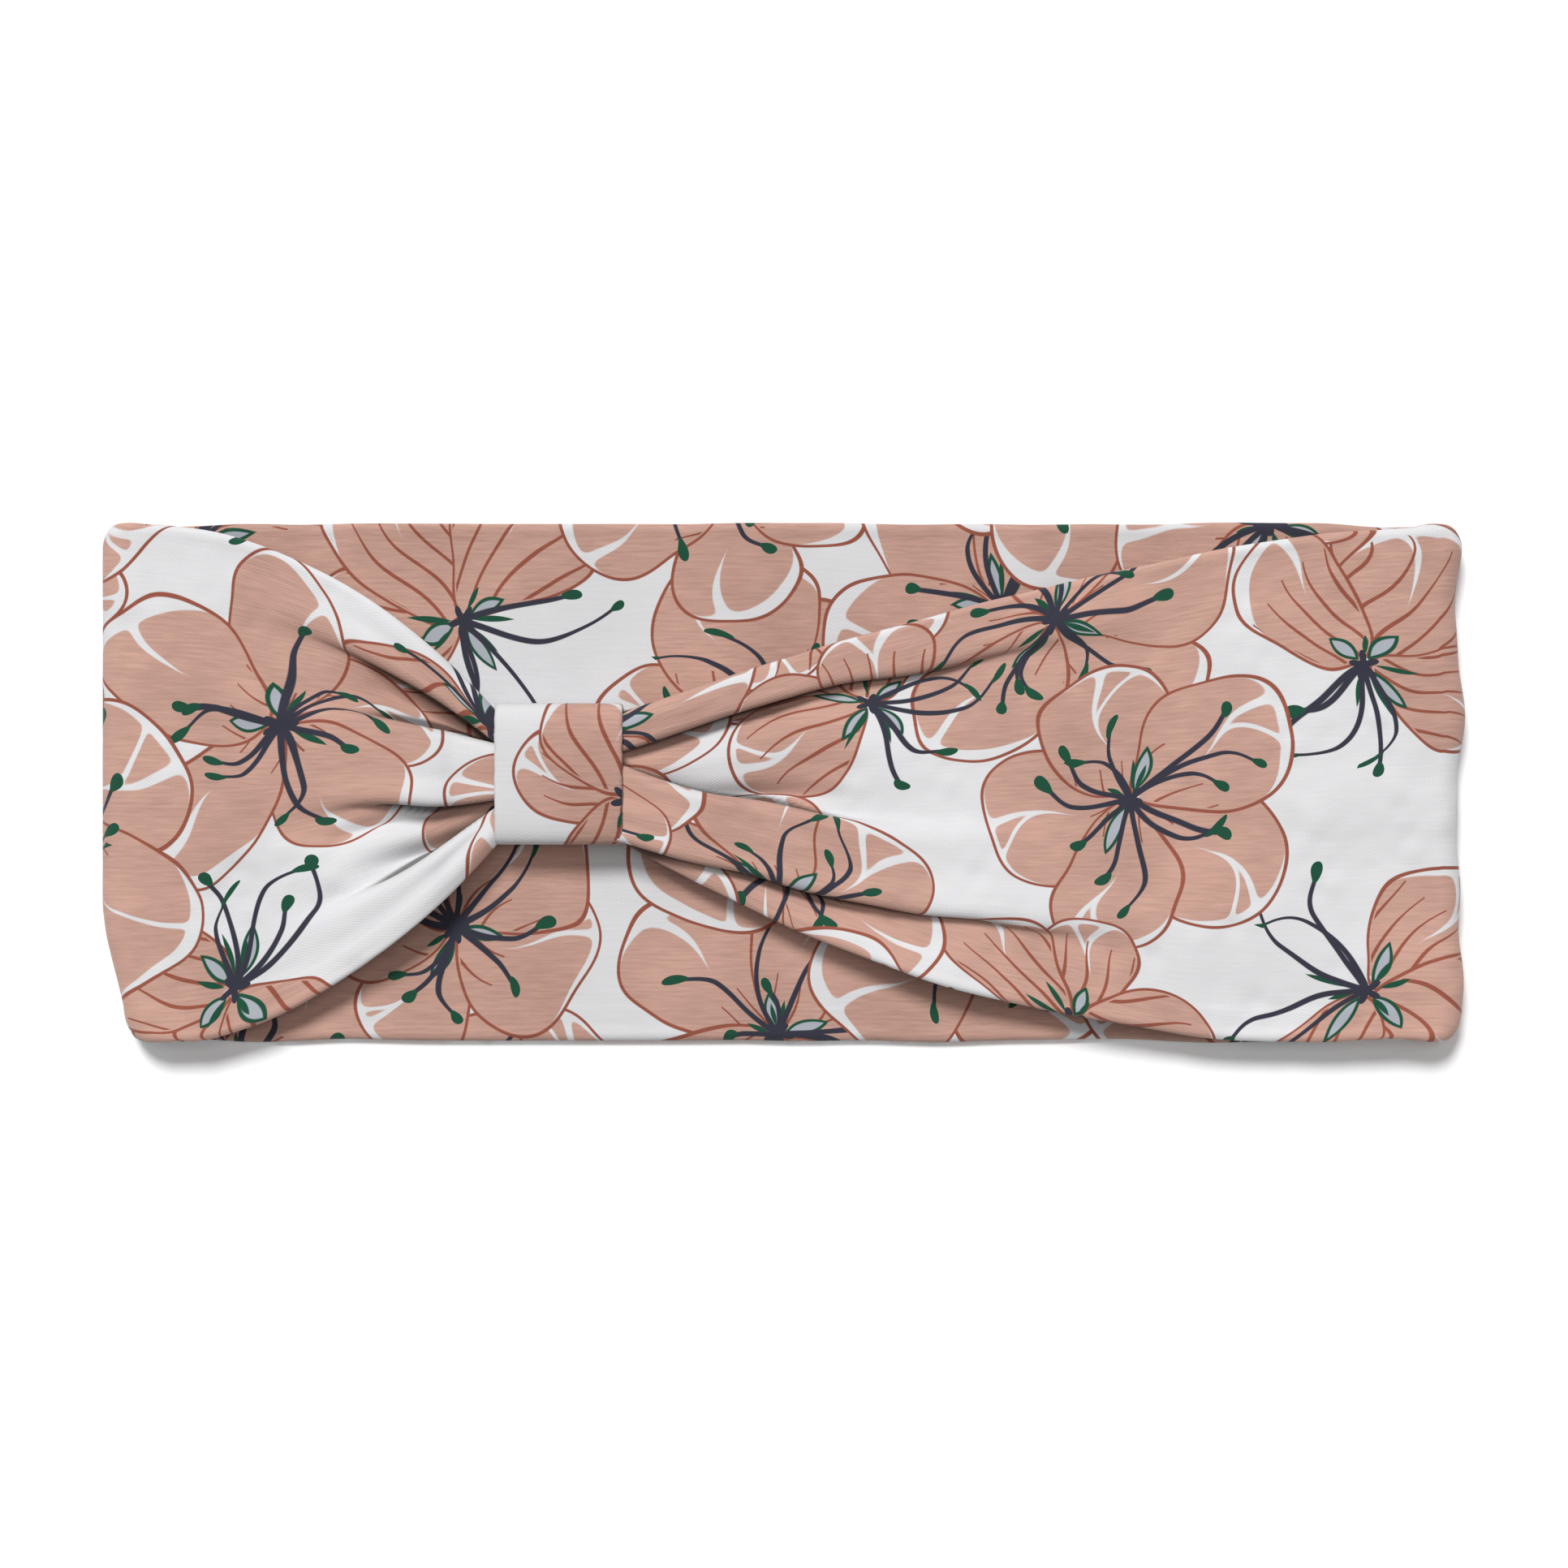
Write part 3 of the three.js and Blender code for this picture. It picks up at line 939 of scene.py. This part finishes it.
def tab_surface():
    """The tab, a flattened tube with softly rolled ends: its points, print coordinates and normals."""
    ring_y, ring_z, even = tab_ring()
    out_y, out_z = np.gradient(ring_z), -np.gradient(ring_y)
    steepness = np.hypot(out_y, out_z)
    out_y, out_z = out_y / steepness, out_z / steepness
    x, wall_out, inner = tab_profile()
    joint = np.exp(-(((even - even[-1] * 0.75) / 0.5) ** 2))
    points = np.zeros((len(even), len(x), 3))
    prints = np.zeros_like(points)
    for row in range(len(even)):
        out = wall_out * (1 - 0.45 * joint[row]) + tab_crown(x) * abs(out_z[row])
        ruffle = TAB_RUFFLE * waves(even[row], 9, 31) * (np.abs(x) / TAB_HALF_X) ** 8
        points[row, :, 0] = TAB_MID_X + x - np.abs(ruffle) * np.sign(x)
        points[row, :, 1] = ring_y[row] + out_y[row] * out
        points[row, :, 2] = ring_z[row] + out_z[row] * out
        prints[row, :, 0] = x + TAB_PRINT[0]
        prints[row, :, 1] = even[row] + TAB_PRINT[1]
    prints[:, inner, 0] += INNER_PRINT_SHIFT
    along_rows = np.gradient(points, axis=0)
    along_rows[0] = along_rows[-1] = (points[1] - points[-2]) / 2
    closed = np.concatenate([points[:, -2:-1], points, points[:, 1:2]], 1)
    across = np.gradient(closed, axis=1)[:, 1:-1]
    return points, prints, unit(np.cross(along_rows, across)), even[-1]


def tab_piece(finish):
    points, prints, normals, round_neck = tab_surface()
    tab = grid_object("tab", points, prints, normals, finish, tab_layout())
    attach(tab, "knot")
    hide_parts("tab_outer_ply", "tab_inner_ply")
    round_neck * MM


def stitch_path():
    """The closing stitches: the thread crosses the joint under the tab, dips into the jersey, comes back."""
    half_run, reach, crossings = TAB_HALF_X - 2, 1.3, 18
    step = np.linspace(0, crossings, crossings * 12 + 1)
    x = half_run * (2 * step / crossings - 1)
    y = TAB_MID_Y + reach * np.cos(step * math.pi)
    outside = np.abs(np.sin(step * math.pi))
    z = TAB_UNDER - tab_crown(x) + 0.22 - 0.34 * outside
    return np.stack([TAB_MID_X + x, y, z], 1)


def stitches_piece(finish):
    """The thread as a tube along its path."""
    path = stitch_path()
    ahead = unit(np.gradient(path, axis=0))
    sideways = unit(np.cross(ahead, (0, 0, 1.0)))
    up = np.cross(sideways, ahead)
    turn = np.linspace(0, 2 * math.pi, 13)
    around = np.cos(turn)[None, :, None] * sideways[:, None] + np.sin(turn)[None, :, None] * up[:, None]
    thickness = np.full(len(path), THREAD_RADIUS)
    thickness[[0, -1]] = 0.02
    points = path[:, None] + around * thickness[:, None, None]
    run = np.concatenate([[0], np.cumsum(np.linalg.norm(np.diff(path, axis=0), axis=1))])
    prints = np.zeros_like(points)
    prints[..., 0] = run[:, None]
    prints[..., 1] = turn[None, :]
    stitches = grid_object("tab_stitches", points, prints, around, finish)
    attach(stitches, "knot")
    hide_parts("tab_closing_thread")


# ---------------------------------------------------------------- stage, light and camera


def stage():
    """A pale floor, just below the lowest point of the cloth."""
    bpy.ops.mesh.primitive_plane_add(size=30, location=(0, 0, -0.4 * MM))
    floor = bpy.context.object
    floor.name = "floor"
    material = bpy.data.materials.new("floor")
    material.use_nodes = True
    shader = material.node_tree.nodes["Principled BSDF"]
    shader.inputs["Base Color"].default_value = (0.97, 0.97, 0.97, 1)
    shader.inputs["Roughness"].default_value = 0.9
    floor.data.materials.append(material)


def sun(name, direction, strength, softness):
    """An even light from a direction; softness is how wide it looks, in degrees."""
    data = bpy.data.lights.new(name, "SUN")
    data.energy = strength
    data.angle = math.radians(softness)
    light = bpy.data.objects.new(name, data)
    light.rotation_euler = Vector(direction).to_track_quat("Z", "Y").to_euler()
    bpy.context.scene.collection.objects.link(light)


def studio():
    """A soft key light from above the band's +Y edge, a wider one from overhead and a pale sky."""
    sun("key", (-0.2, 0.62, 1.0), 2.75, 16)
    sun("top", (0.1, 0.1, 1.5), 0.6, 30)
    world = bpy.data.worlds.new("studio")
    world.use_nodes = True
    world.node_tree.nodes["Background"].inputs["Color"].default_value = (1, 1, 1, 1)
    world.node_tree.nodes["Background"].inputs["Strength"].default_value = 0.17
    bpy.context.scene.world = world
    bpy.context.scene.view_settings.view_transform = "Standard"


def camera():
    """Straight above the band, and so far off that all of it shows with a margin."""
    focal_length, sensor_width, view_width = 100, 36, 264.7
    data = bpy.data.cameras.new("camera")
    data.lens = focal_length
    data.sensor_width = sensor_width
    made = bpy.data.objects.new("camera", data)
    made.location = (0.0005, -0.0003, (view_width * focal_length / sensor_width + FRONT_MID) * MM)
    bpy.context.scene.collection.objects.link(made)
    bpy.context.scene.camera = made


camera()
studio()
stage()
jersey = ("printed_jersey", jersey_material())
band_pieces(jersey)
join_piece(("jersey_reverse", reverse_material()))
tab_piece(jersey)
stitches_piece(("sewing_thread", thread_material()))
